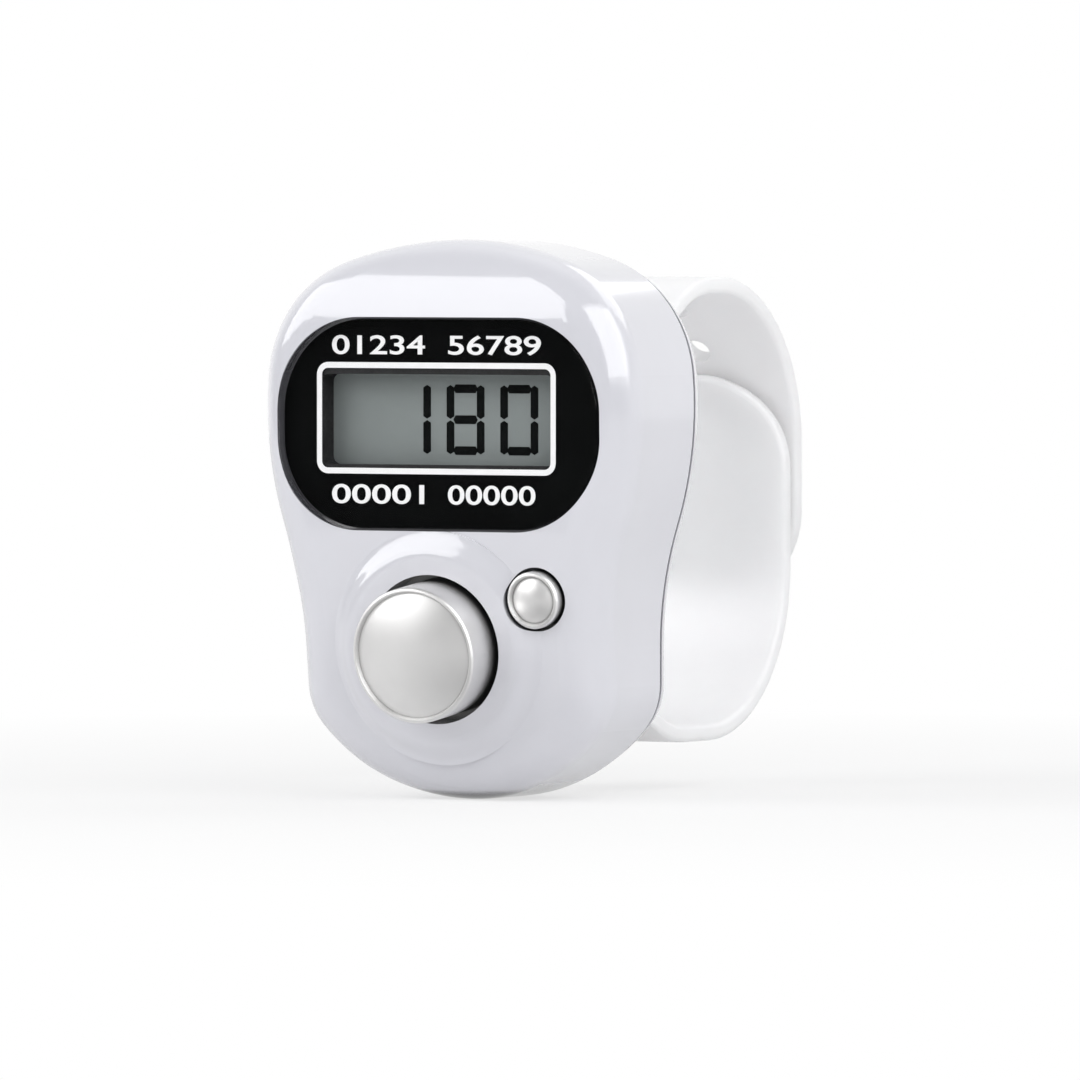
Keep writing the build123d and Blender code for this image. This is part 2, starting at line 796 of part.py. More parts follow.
# Button cell: can, sealing ring and cap, cap to the front
cell_seal_radius = cell_radius - cell_can_sheet - seat_gap
cell_cap_radius = cell_seal_radius - cell_gasket
with BuildPart() as cell_can:
    with BuildSketch(at_depth(cell_back)):
        with Locations((0, cell_z)):
            Circle(cell_radius)
    extrude(amount=cell_height - cell_cap_proud)
    fillet(cell_can.faces().sort_by(Axis.Y)[-1].edges(), cell_can_sheet)
    with BuildSketch(at_depth(cell_back - cell_can_sheet)):
        with Locations((0, cell_z)):
            Circle(cell_radius - cell_can_sheet)
    extrude(amount=cell_height, mode=Mode.SUBTRACT)

with BuildPart() as cell_seal:
    with BuildSketch(at_depth(cell_back - cell_can_sheet)):
        with Locations((0, cell_z)):
            Circle(cell_seal_radius)
            Circle(cell_cap_radius, mode=Mode.SUBTRACT)
    extrude(amount=cell_height - cell_can_sheet - cell_cap_proud + seat_gap)

with BuildPart() as cell_cap:
    with BuildSketch(at_depth(cell_back - cell_can_sheet)):
        with Locations((0, cell_z)):
            Circle(cell_cap_radius - seat_gap)
    extrude(amount=cell_height - cell_can_sheet)
    fillet(cell_cap.faces().sort_by(Axis.Y)[0].edges(), cell_can_sheet)


def contact_strip(points):
    """Bent strip of spring sheet, drawn from above as (x, depth) points on its front side."""
    front = [(x, face_y + depth) for x, depth in points]
    with BuildPart() as strip:
        with BuildSketch(Plane.XY.offset(cell_z - contact_width / 2)):
            with BuildLine():
                path = Polyline(*front)
                offset(path, amount=contact_sheet, side=Side.RIGHT, closed=True)
            make_face()
        extrude(amount=contact_width)
    return strip


# Contacts: one strip reaches round behind the cell, the other springs up from the board under its cap
leg_x = cell_radius + fit_gap + well_wall + slide_gap
battery_contact_positive = contact_strip(
    [
        (-contact_reach, cell_back + contact_sheet),
        (leg_x + contact_sheet, cell_back + contact_sheet),
        (leg_x + contact_sheet, board_back),
    ]
)
battery_contact_negative = contact_strip(
    [
        (-contact_reach - contact_foot, board_back + contact_sheet),
        (-contact_reach, board_back + contact_sheet),
        (0, cell_front),
        (contact_reach, cell_front),
    ]
)

# Strap centre lines: the upper half lies outside the tongue of the lower half at the back
half_strap = strap_thickness / 2
layer = strap_thickness + strap_gap
tongue_mid_y = finger_depth / 2 + half_strap
outer_mid_y = tongue_mid_y + layer
corner_mid_radius = strap_corner_radius - half_strap
bend_start_z = strap_top_z - strap_corner_radius
bend_centre_y = outer_mid_y - corner_mid_radius
root_y = back_y - wall - bead_depth / 2


def strap_band(points, radii):
    """Flat band along a rounded path, given as (y, z) points, with a bead at its root inside the case."""
    with BuildPart() as band:
        with BuildLine(Plane.YZ):
            path = FilletPolyline(*points, radius=radii)
        with BuildSketch(Plane(path @ 0, x_dir=(1, 0, 0), z_dir=path % 0)):
            Rectangle(strap_width, strap_thickness)
        sweep(path=path)
        with BuildSketch(Plane.XZ.offset(-(back_y - wall))):
            with Locations((0, points[0][1])):
                Rectangle(strap_width, bead_height)
        extrude(amount=bead_depth)
    return band.part


def strap_tip(apex_z, direction):
    """What is cut away to leave a round end, at the back of the loop; direction is 1 for up, -1 for down."""
    reach = strap_width / 2
    with BuildPart() as waste:
        with BuildSketch(Plane.XZ):
            with Locations((0, apex_z)):
                Rectangle(strap_width + 2 * spare, 2 * reach)
            with Locations((0, apex_z + direction * (body_height / 2 + reach))):
                Rectangle(strap_width + 2 * spare, body_height)
            with Locations((0, apex_z - direction * reach)):
                Circle(reach, mode=Mode.SUBTRACT)
        extrude(amount=-(outer_mid_y + strap_thickness))
    return waste.part


def long_edges(band):
    """Edges that run along a band outside the case and round its tip."""
    along = band.edges().filter_by(Axis.X, reverse=True)
    return along.filter_by(lambda edge: edge.center().Y > back_y and edge.length > strap_thickness + fit_gap)


def hole_plane(number):
    """Plane across the outer band at a hole, counted up from the lowest one."""
    climb = upper_tip_z + lowest_hole_rise + number * hole_pitch - bend_start_z
    if climb <= 0:
        return Plane((0, outer_mid_y, bend_start_z + climb), x_dir=(1, 0, 0), z_dir=(0, 1, 0))
    turn = climb / corner_mid_radius
    radial = Vector(0, cos(turn), sin(turn))
    centre = Vector(0, bend_centre_y, bend_start_z) + radial * corner_mid_radius
    return Plane(centre, x_dir=(1, 0, 0), z_dir=radial)


# Upper strap half: outside, with a row of holes
with BuildPart() as strap_upper:
    add(
        strap_band(
            [
                (root_y, upper_root_z),
                (back_y + root_lead, upper_root_z),
                (back_y + root_lead + upper_ramp, strap_top_z - half_strap),
                (outer_mid_y, strap_top_z - half_strap),
                (outer_mid_y, upper_tip_z),
            ],
            [root_bend, ramp_bend, corner_mid_radius],
        )
    )
    add(strap_tip(upper_tip_z, -1), mode=Mode.SUBTRACT)
    fillet(long_edges(strap_upper), strap_edge_round)
    for number in range(hole_count):
        with BuildSketch(hole_plane(number).offset(-strap_thickness)):
            Circle(hole_radius)
        extrude(amount=2 * strap_thickness, mode=Mode.SUBTRACT)

# Lower strap half: its tongue lies inside, with studs through the lowest holes
with BuildPart() as strap_lower:
    add(
        strap_band(
            [
                (root_y, lower_root_z),
                (back_y + root_lead, lower_root_z),
                (back_y + root_lead + lower_ramp, strap_bottom_z + half_strap),
                (tongue_mid_y, strap_bottom_z + half_strap),
                (tongue_mid_y, strap_top_z - half_strap - layer),
                (bend_centre_y - spare, strap_top_z - half_strap - layer),
            ],
            [root_bend, ramp_bend, corner_mid_radius, corner_mid_radius - layer],
        )
    )
    add(strap_tip(lower_tip_z, 1), mode=Mode.SUBTRACT)
    fillet(long_edges(strap_lower), strap_edge_round)
    for number in range(stud_count):
        neck_length = layer + half_strap + fit_gap
        with BuildSketch(hole_plane(number).offset(-layer)):
            Circle(stud_neck_radius)
        extrude(amount=neck_length)
        with BuildSketch(hole_plane(number).offset(half_strap + fit_gap)):
            Circle(stud_head_radius)
        extrude(amount=stud_head)
    fillet(strap_lower.faces().sort_by(Axis.Y)[-stud_count:].edges(), stud_head / 2)

# Written out, one piece to a file
pieces = {
    "front_shell": front_shell,
    "rear_shell": rear_shell,
    "display_lens": display_lens,
    "lens_mask": lens_mask,
    "lcd_polariser": lcd_polariser,
    "lcd_front_glass": lcd_front_glass,
    "lcd_rear_glass": lcd_rear_glass,
    "lcd_reflector": lcd_reflector,
    "lcd_frame": lcd_frame,
    "lcd_pad": lcd_pad,
    "zebra_strip": zebra_strip,
    "circuit_board": circuit_board,
    "chip_blob": chip_blob,
    "chip_capacitors": chip_capacitors,
    "board_screws": board_screws,
    "case_screws": case_screws,
    "count_button": count_button,
    "count_switch_base": count_switch_base,
    "count_switch_cover": count_switch_cover,
    "count_switch_plunger": count_switch_plunger,
    "count_switch_dome": count_switch_dome,
    "reset_button": reset_button,
    "reset_switch_base": reset_switch_base,
    "reset_switch_cover": reset_switch_cover,
    "reset_switch_plunger": reset_switch_plunger,
    "reset_switch_dome": reset_switch_dome,
    "cell_can": cell_can,
    "cell_seal": cell_seal,
    "cell_cap": cell_cap,
    "battery_contact_positive": battery_contact_positive,
    "battery_contact_negative": battery_contact_negative,
    "strap_upper": strap_upper,
    "strap_lower": strap_lower,
}
os.makedirs("parts", exist_ok=True)
for name, piece in pieces.items():
    piece.part.label = name
    export_step(piece.part, f"parts/{name}.step")
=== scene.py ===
import json
from collections import namedtuple
from math import cos, pi, radians, sin

import bmesh
import bpy
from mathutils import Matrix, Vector


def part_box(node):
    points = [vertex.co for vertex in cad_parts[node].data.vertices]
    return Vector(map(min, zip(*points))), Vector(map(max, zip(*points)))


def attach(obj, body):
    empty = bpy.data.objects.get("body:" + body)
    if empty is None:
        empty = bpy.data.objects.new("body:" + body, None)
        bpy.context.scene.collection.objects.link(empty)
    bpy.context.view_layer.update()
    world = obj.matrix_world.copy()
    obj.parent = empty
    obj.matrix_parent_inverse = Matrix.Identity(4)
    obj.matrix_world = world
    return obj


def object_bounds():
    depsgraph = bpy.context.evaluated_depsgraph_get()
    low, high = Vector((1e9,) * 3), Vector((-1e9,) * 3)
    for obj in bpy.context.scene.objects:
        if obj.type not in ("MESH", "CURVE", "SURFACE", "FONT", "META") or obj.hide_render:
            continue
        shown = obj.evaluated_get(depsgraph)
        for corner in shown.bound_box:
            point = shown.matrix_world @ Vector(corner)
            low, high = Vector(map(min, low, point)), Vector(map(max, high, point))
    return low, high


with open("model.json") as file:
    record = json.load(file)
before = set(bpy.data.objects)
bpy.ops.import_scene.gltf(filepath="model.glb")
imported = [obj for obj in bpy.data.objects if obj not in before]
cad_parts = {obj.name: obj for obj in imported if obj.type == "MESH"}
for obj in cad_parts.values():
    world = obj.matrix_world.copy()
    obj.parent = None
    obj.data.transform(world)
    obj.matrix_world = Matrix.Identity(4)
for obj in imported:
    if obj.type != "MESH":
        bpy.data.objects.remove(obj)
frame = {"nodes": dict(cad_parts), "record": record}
cad_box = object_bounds()
nodes = frame["nodes"]
scene = bpy.context.scene

# The scene is in metres; lengths of the object are written in millimetres
MM = 0.001

# Where the lens, the printed film and the display glass are
LENS_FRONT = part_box("display_lens")[0].y
MASK_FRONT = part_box("lens_mask")[0].y
GLASS_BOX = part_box("lcd_polariser")
GLASS_FRONT = GLASS_BOX[0].y
WINDOW_X = (GLASS_BOX[0].x + GLASS_BOX[1].x) / 2
WINDOW_Z = (GLASS_BOX[0].z + GLASS_BOX[1].z) / 2
FACE_MIDDLE = Vector((0, LENS_FRONT, 0))

# Printing stands a hair proud of the face that carries it
PRINT_THICKNESS = 0.02 * MM
WELD_DISTANCE = 0.0005 * MM

# Printed line round the display window
LINE_WIDTH = 19.6 * MM
LINE_HEIGHT = 8.0 * MM
LINE_CORNER = 0.9 * MM
LINE_STROKE = 0.42 * MM
CORNER_STEPS = 8

# Rows of plain numbers printed on the panel, placed from the middle of the window
NUMBER_HEIGHT = 1.4 * MM
UPPER_ROW_RISE = 5.25 * MM
LOWER_ROW_DROP = 5.45 * MM
UPPER_SPAN = (-8.55 * MM, 8.6 * MM)
LOWER_LEFT_SPAN = (-8.55 * MM, -0.95 * MM)
LOWER_RIGHT_SPAN = (1.0 * MM, 8.15 * MM)

# Type of the numbers, before it is scaled to its row and to the thickness of the printing
TYPE_SIZE = 1.0
TYPE_BOLD = 0.012
TYPE_HALF_DEPTH = 0.5

# Reading on the display, in seven-segment digits
READING = "180"
SEGMENTS = {"0": "abcdef", "1": "bc", "8": "abcdefg"}
DIGIT_HEIGHT = 5.05 * MM
DIGIT_WIDTH = 3.1 * MM
DIGIT_PITCH = 4.4 * MM
DIGIT_STROKE = 0.62 * MM
DIGIT_GAP = 0.1 * MM
DIGIT_POINT = 0.6
DIGIT_DROP = 0.1 * MM
LAST_DIGIT_X = 5.75 * MM

# Photograph's view: the case is turned, and seen from a little above
PHOTO_YAW = radians(29.0)
PHOTO_RISE = radians(1.5)
PHOTO_SIZE = 1080
PIXELS_PER_MM = 14.0
FACE_PIXEL = (436, 521)
CAMERA_DISTANCE = 900 * MM
CAMERA_NEAR = 10 * MM
SENSOR = 36.0

# Range that a cloudy pattern mostly keeps to, and how finely its two uses are broken up
PATTERN_LOW = 0.3
PATTERN_HIGH = 0.7
PATCH_DETAIL = 3
GRAIN_DETAIL = 4


# Node helpers

def new_node(tree, kind):
    """New node of a kind."""
    return tree.nodes.new(kind)


def link(tree, source, target):
    """Wire from one socket to another."""
    tree.links.new(source, target)


def set_inputs(node, values):
    """Fixed values on a node's own sockets."""
    for name, value in values.items():
        node.inputs[name].default_value = value


def live(sockets, name):
    """The socket of a name that a node uses for its kind of data."""
    return next(socket for socket in sockets if socket.enabled and socket.name == name)


def calculate(tree, operation, first, second):
    """Result of an operation on two values, each a socket or a number."""
    node = new_node(tree, "ShaderNodeMath")
    node.operation = operation
    for value, socket in zip((first, second), node.inputs):
        if isinstance(value, bpy.types.NodeSocket):
            link(tree, value, socket)
        else:
            socket.default_value = value
    return node.outputs["Value"]


def distance_from(tree, place, point):
    """How far a place is from a fixed point."""
    node = new_node(tree, "ShaderNodeVectorMath")
    node.operation = "DISTANCE"
    node.inputs[1].default_value = point
    link(tree, place, node.inputs[0])
    return node.outputs["Value"]


def map_range(tree, value, start, end, low, high):
    """Number that runs from low to high while a value runs from start to end."""
    node = new_node(tree, "ShaderNodeMapRange")
    set_inputs(node, {"From Min": start, "From Max": end, "To Min": low, "To Max": high})
    link(tree, value, node.inputs["Value"])
    return node.outputs["Result"]


def mix_shaders(tree, share, first, second, output):
    """Output that goes from a first shader to a second as a share grows."""
    mix = new_node(tree, "ShaderNodeMixShader")
    for source, socket in zip((share, first, second), mix.inputs):
        link(tree, source, socket)
    link(tree, mix.outputs["Shader"], output.inputs["Surface"])


# Patterns and finishes that the materials share

def start_material(name):
    """New material, with its node tree and its shader."""
    material = bpy.data.materials.new(name)
    material.use_nodes = True
    tree = material.node_tree
    return material, tree, tree.nodes["Principled BSDF"]


def noise(tree, size, detail, stretch=(1, 1, 1)):
    """Cloudy pattern fixed to the object, with features about as large as size."""
    place = new_node(tree, "ShaderNodeTexCoord")
    mapping = new_node(tree, "ShaderNodeMapping")
    pattern = new_node(tree, "ShaderNodeTexNoise")
    set_inputs(mapping, {"Scale": stretch})
    set_inputs(pattern, {"Scale": 1 / size, "Detail": detail})
    link(tree, place.outputs["Object"], mapping.inputs["Vector"])
    link(tree, mapping.outputs["Vector"], pattern.inputs["Vector"])
    return pattern.outputs["Fac"]


def colour_between(tree, pattern, low, high, target):
    """Colour that runs from low to high with a pattern."""
    ramp = new_node(tree, "ShaderNodeValToRGB")
    start, end = ramp.color_ramp.elements
    start.position = PATTERN_LOW
    start.color = (*low, 1)
    end.position = PATTERN_HIGH
    end.color = (*high, 1)
    link(tree, pattern, ramp.inputs["Fac"])
    link(tree, ramp.outputs["Color"], target)


def value_between(tree, pattern, low, high, target):
    """Number that runs from low to high with a pattern."""
    link(tree, map_range(tree, pattern, PATTERN_LOW, PATTERN_HIGH, low, high), target)


def relief(tree, pattern, depth, shader):
    """Raised pattern on the surface."""
    bump = new_node(tree, "ShaderNodeBump")
    set_inputs(bump, {"Strength": 1, "Distance": depth})
    link(tree, pattern, bump.inputs["Height"])
    link(tree, bump.outputs["Normal"], shader.inputs["Normal"])


def clouded(name, low, high, patch, smooth, rough, grain, depth):
    """Material whose colour drifts in patches, with a fine grain in its gloss and relief."""
    material, tree, shader = start_material(name)
    patches = noise(tree, patch, PATCH_DETAIL)
    colour_between(tree, patches, low, high, shader.inputs["Base Color"])
    fine = noise(tree, grain, GRAIN_DETAIL)
    value_between(tree, fine, smooth, rough, shader.inputs["Roughness"])
    relief(tree, fine, depth, shader)
    return material, shader


def painted_crevice_shade(tree, shader, reach, shade_colour, closed, opened):
    """Painted shade: base colour that goes down to a shade colour in gaps narrower than reach.

    It is the shade colour where the open share of the surroundings is at most closed, and unchanged from
    opened up.
    """
    surroundings = new_node(tree, "ShaderNodeAmbientOcclusion")
    set_inputs(surroundings, {"Distance": reach})
    mix = new_node(tree, "ShaderNodeMix")
    mix.data_type = "RGBA"
    surface = shader.inputs["Base Color"].links[0].from_socket
    share = map_range(tree, surroundings.outputs["AO"], closed, opened, 0, 1)
    live(mix.inputs, "A").default_value = (*shade_colour, 1)
    link(tree, share, live(mix.inputs, "Factor"))
    link(tree, surface, live(mix.inputs, "B"))
    link(tree, live(mix.outputs, "Result"), shader.inputs["Base Color"])


# Materials of the pieces that show, named after their slots

def case_white():
    """Glossy white moulded plastic with a faint cool cast."""
    material, shader = clouded(
        "case_white",
        low=(0.69, 0.69, 0.735),
        high=(0.715, 0.715, 0.76),
        patch=9 * MM,
        smooth=0.12,
        rough=0.18,
        grain=0.6 * MM,
        depth=0.0004 * MM,
    )
    set_inputs(shader, {"IOR": 1.5, "Coat Weight": 1.0, "Coat Roughness": 0.06, "Coat IOR": 1.6})
    # Painted shade: the case's base colour darkens in its gaps and grooves, such as the parting groove and
    # the gap round the buttons
    painted_crevice_shade(
        material.node_tree, shader, reach=1.2 * MM, shade_colour=(0.09, 0.09, 0.1), closed=0.2, opened=0.45
    )
    return material


def strap_clear_white():
    """Pale soft plastic that lets some light through, with a silky skin."""
    material, shader = clouded(
        "strap_clear_white",
        low=(0.90, 0.89, 0.90),
        high=(0.93, 0.925, 0.93),
        patch=6 * MM,
        smooth=0.30,
        rough=0.40,
        grain=0.4 * MM,
        depth=0.0015 * MM,
    )
    set_inputs(
        shader,
        {"Subsurface Weight": 0.8, "Subsurface Radius": (1.0, 0.95, 0.95), "Subsurface Scale": 3 * MM},
    )
    return material


def button_silver():
    """Satin silver plating with a very fine grain."""
    material, shader = clouded(
        "button_silver",
        low=(0.86, 0.855, 0.85),
        high=(0.90, 0.895, 0.89),
        patch=3 * MM,
        smooth=0.42,
        rough=0.50,
        grain=0.15 * MM,
        depth=0.0006 * MM,
    )
    set_inputs(shader, {"Metallic": 1.0})
    # Painted shade: the buttons' base colour darkens in the groove round the dome and down the wall in the
    # hole
    painted_crevice_shade(
        material.node_tree, shader, reach=0.9 * MM, shade_colour=(0.15, 0.15, 0.15), closed=0.3, opened=0.7
    )
    return material


def mask_black():
    """Black printed film."""
    material, shader = clouded(
        "mask_black",
        low=(0.0012, 0.0014, 0.0016),
        high=(0.0024, 0.0028, 0.003),
        patch=5 * MM,
        smooth=0.60,
        rough=0.70,
        grain=0.3 * MM,
        depth=0.0001 * MM,
    )
    set_inputs(shader, {"Specular IOR Level": 0.03})
    return material


def lcd_film():
    """Grey-green display seen through its polarising film."""
    material, shader = clouded(
        "lcd_film",
        low=(0.25, 0.276, 0.272),
        high=(0.262, 0.29, 0.286),
        patch=4 * MM,
        smooth=0.45,
        rough=0.55,
        grain=0.12 * MM,
        depth=0.0010 * MM,
    )
    set_inputs(shader, {"Specular IOR Level": 0.15})
    return material


def clear_lens():
    """Clear polished plate, with a faint reflection on its outer side and hairline marks in its gloss."""
    material, tree, shader = start_material("clear_lens")
    see_through = new_node(tree, "ShaderNodeBsdfTransparent")
    gloss = new_node(tree, "ShaderNodeBsdfGlossy")
    marks = noise(tree, size=0.8 * MM, detail=5, stretch=(1, 1, 0.15))
    value_between(tree, marks, low=0.02, high=0.06, target=gloss.inputs["Roughness"])
    fresnel = new_node(tree, "ShaderNodeFresnel")
    set_inputs(fresnel, {"IOR": 1.18})
    side = new_node(tree, "ShaderNodeNewGeometry")
    outer = calculate(tree, "SUBTRACT", 1, side.outputs["Backfacing"])
    share = calculate(tree, "MULTIPLY", fresnel.outputs["Fac"], outer)
    output = tree.nodes["Material Output"]
    mix_shaders(tree, share, see_through.outputs["BSDF"], gloss.outputs["BSDF"], output)
    tree.nodes.remove(shader)
    return material


# Inks of the printing and of the reading

def print_white():
    """White printing ink with slightly uneven cover."""
    material, _ = clouded(
        "print_white",
        low=(0.93, 0.93, 0.93),
        high=(0.97, 0.97, 0.97),
        patch=0.7 * MM,
        smooth=0.45,
        rough=0.6,
        grain=0.1 * MM,
        depth=0.001 * MM,
    )
    return material


def lcd_ink():
    """Dark, slightly green display segments."""
    material, shader = clouded(
        "lcd_ink",
        low=(0.003, 0.004, 0.004),
        high=(0.006, 0.007, 0.007),
        patch=1.5 * MM,
        smooth=0.5,
        rough=0.6,
        grain=0.2 * MM,
        depth=0.0005 * MM,
    )
    set_inputs(shader, {"Specular IOR Level": 0.03})
    return material


# Materials of the inner and small pieces, by slot

Finish = namedtuple("Finish", ["low", "high", "smooth", "rough", "metallic"])
PLAIN_FINISHES = {
    "lcd_glass": Finish((0.62, 0.68, 0.66), (0.68, 0.74, 0.72), 0.05, 0.10, 0.0),
    "lcd_reflector": Finish((0.45, 0.49, 0.49), (0.50, 0.54, 0.54), 0.35, 0.45, 0.3),
    "inner_black": Finish((0.008, 0.008, 0.009), (0.014, 0.014, 0.015), 0.65, 0.80, 0.0),
    "foam_black": Finish((0.02, 0.02, 0.02), (0.06, 0.06, 0.06), 0.85, 0.95, 0.0),
    "zebra_rubber": Finish((0.25, 0.22, 0.28), (0.42, 0.40, 0.45), 0.60, 0.75, 0.0),
    "board_green": Finish((0.015, 0.14, 0.05), (0.03, 0.20, 0.08), 0.25, 0.40, 0.0),
    "capacitor_tan": Finish((0.38, 0.27, 0.16), (0.48, 0.36, 0.22), 0.40, 0.55, 0.0),
    "screw_steel": Finish((0.50, 0.50, 0.51), (0.60, 0.60, 0.61), 0.22, 0.38, 1.0),
    "switch_steel": Finish((0.60, 0.60, 0.61), (0.70, 0.70, 0.71), 0.20, 0.32, 1.0),
    "cell_steel": Finish((0.58, 0.58, 0.58), (0.66, 0.66, 0.66), 0.15, 0.28, 1.0),
    "cell_seal_green": Finish((0.06, 0.20, 0.11), (0.10, 0.27, 0.16), 0.40, 0.55, 0.0),
    "contact_nickel": Finish((0.60, 0.59, 0.54), (0.70, 0.69, 0.64), 0.18, 0.30, 1.0),
}
SMALL_PATCH = 2.5 * MM
SMALL_GRAIN = 0.25 * MM
SMALL_RELIEF = 0.002 * MM


def plain_finish(name):
    """Finish of an inner or small piece."""
    finish = PLAIN_FINISHES[name]
    material, shader = clouded(
        name, finish.low, finish.high, SMALL_PATCH, finish.smooth, finish.rough, SMALL_GRAIN, SMALL_RELIEF
    )
    set_inputs(shader, {"Metallic": finish.metallic})
    return material


finishes = {
    "case_white": case_white(),
    "strap_clear_white": strap_clear_white(),
    "button_silver": button_silver(),
    "mask_black": mask_black(),
    "lcd_film": lcd_film(),
    "clear_lens": clear_lens(),
}
for slot_name in PLAIN_FINISHES:
    finishes[slot_name] = plain_finish(slot_name)

for subpart in frame["record"]["subparts"]:
    node = nodes[subpart["node"]]
    node.data.materials.clear()
    node.data.materials.append(finishes[subpart["material_slot"]])


# Printing, each piece carried by the case

def printed_piece(name, mesh, material):
    """Object of a printed mesh."""
    mesh.materials.clear()
    mesh.materials.append(material)
    piece = bpy.data.objects.new(name, mesh)
    scene.collection.objects.link(piece)
    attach(piece, "case")


def flat_piece(name, outlines, front, material):
    """Thin printed piece from closed (x, z) outlines, standing proud of a face towards the front."""
    mesh = bpy.data.meshes.new(name)
    build = bmesh.new()
    for outline in outlines:
        corners = [build.verts.new((x, front, z)) for x, z in outline]
        build.faces.new(corners)
    bmesh.ops.remove_doubles(build, verts=build.verts[:], dist=WELD_DISTANCE)
    lifted = bmesh.ops.extrude_face_region(build, geom=build.faces[:])
    moved = [item for item in lifted["geom"] if isinstance(item, bmesh.types.BMVert)]
    bmesh.ops.translate(build, verts=moved, vec=(0, -PRINT_THICKNESS, 0))
    bmesh.ops.recalc_face_normals(build, faces=build.faces[:])
    build.to_mesh(mesh)
    build.free()
    printed_piece(name, mesh, material)


ink = print_white()
segment_ink = lcd_ink()


# Line round the display window

def rounded_outline(width, height, radius):
    """Points round a rectangle with round corners, centred on the window."""
    points = []
    for turn, (side_x, side_z) in enumerate([(1, 1), (-1, 1), (-1, -1), (1, -1)]):
        for step in range(CORNER_STEPS + 1):
            angle = (turn + step / CORNER_STEPS) * pi / 2
            x = side_x * (width / 2 - radius) + radius * cos(angle)
            z = side_z * (height / 2 - radius) + radius * sin(angle)
            points.append((WINDOW_X + x, WINDOW_Z + z))
    return points


def line_quads():
    """The printed line, as quads between its outer and inner outlines."""
    outer = rounded_outline(LINE_WIDTH, LINE_HEIGHT, LINE_CORNER)
    inner = rounded_outline(
        LINE_WIDTH - 2 * LINE_STROKE, LINE_HEIGHT - 2 * LINE_STROKE, LINE_CORNER - LINE_STROKE
    )
    count = len(outer)
    return [(outer[i], outer[(i + 1) % count], inner[(i + 1) % count], inner[i]) for i in range(count)]


flat_piece("window_line", line_quads(), MASK_FRONT, ink)


# Reading on the display

def bar(x, z, length, upright):
    """One segment with blunt pointed ends."""
    half = length / 2
    side = DIGIT_STROKE / 2
    straight = half - side * DIGIT_POINT
    upper = [(-half, 0), (-straight, side), (straight, side)]
    lower = [(half, 0), (straight, -side), (-straight, -side)]
    shape = upper + lower
    if upright:
        return [(x + across, z + along) for along, across in shape]
    return [(x + along, z + across) for along, across in shape]


def digit_outlines(figure, middle_x):
    """Outlines of a digit's lit segments."""
    reach_x = (DIGIT_WIDTH - DIGIT_STROKE) / 2
    reach_z = (DIGIT_HEIGHT - DIGIT_STROKE) / 2
    quarter = DIGIT_HEIGHT / 4
    across = 2 * reach_x - DIGIT_STROKE * DIGIT_POINT - DIGIT_GAP
    along = DIGIT_HEIGHT / 2 - DIGIT_GAP
    bars = {
        "a": (0, reach_z, across, False),
        "b": (reach_x, quarter, along, True),
        "c": (reach_x, -quarter, along, True),
        "d": (0, -reach_z, across, False),
        "e": (-reach_x, -quarter, along, True),
        "f": (-reach_x, quarter, along, True),
        "g": (0, 0, across, False),
    }
    outlines = []
    for letter in SEGMENTS[figure]:
        x, z, length, upright = bars[letter]
        outlines.append(bar(middle_x + x, WINDOW_Z - DIGIT_DROP + z, length, upright))
    return outlines


for place, figure in enumerate(reversed(READING)):
    outlines = digit_outlines(figure, WINDOW_X + LAST_DIGIT_X - place * DIGIT_PITCH)
    flat_piece(f"reading_digit_{place}", outlines, GLASS_FRONT, segment_ink)


# Rows of numbers

def type_mesh(name, text):
    """Mesh of a text in upright type, before it is scaled."""
    curve = bpy.data.curves.new(name, "FONT")
    curve.body = text
    curve.size = TYPE_SIZE
    curve.offset = TYPE_BOLD
    curve.extrude = TYPE_HALF_DEPTH
    writing = bpy.data.objects.new(name + "_curve", curve)
    scene.collection.objects.link(writing)
    bpy.context.view_layer.update()
    mesh = bpy.data.meshes.new_from_object(writing.evaluated_get(bpy.context.evaluated_depsgraph_get()))
    bpy.data.objects.remove(writing)
    return mesh


def number_row(name, text, span, middle_z):
    """Row of printed numbers that fills a width, as a thin mesh."""
    mesh = type_mesh(name, text)
    xs = [vertex.co.x for vertex in mesh.vertices]
    ys = [vertex.co.y for vertex in mesh.vertices]
    start, end = span
    type_start = min(xs)
    type_middle = (max(ys) + min(ys)) / 2
    wide = (end - start) / (max(xs) - min(xs))
    tall = NUMBER_HEIGHT / (max(ys) - min(ys))
    for vertex in mesh.vertices:
        x = WINDOW_X + start + (vertex.co.x - type_start) * wide
        y = MASK_FRONT - (vertex.co.z + TYPE_HALF_DEPTH) * PRINT_THICKNESS
        z = middle_z + (vertex.co.y - type_middle) * tall
        vertex.co = (x, y, z)
    printed_piece(name, mesh, ink)


number_row("numbers_above", "01234  56789", UPPER_SPAN, WINDOW_Z + UPPER_ROW_RISE)
number_row("numbers_left", "00001", LOWER_LEFT_SPAN, WINDOW_Z - LOWER_ROW_DROP)
number_row("numbers_right", "00000", LOWER_RIGHT_SPAN, WINDOW_Z - LOWER_ROW_DROP)


# Camera at the photograph's angle

def direction(azimuth, elevation):
    """Direction from the object, at an angle to the right of its front and an angle above the floor."""
    level = cos(elevation)
    return Vector((sin(azimuth) * level, -cos(azimuth) * level, sin(elevation)))


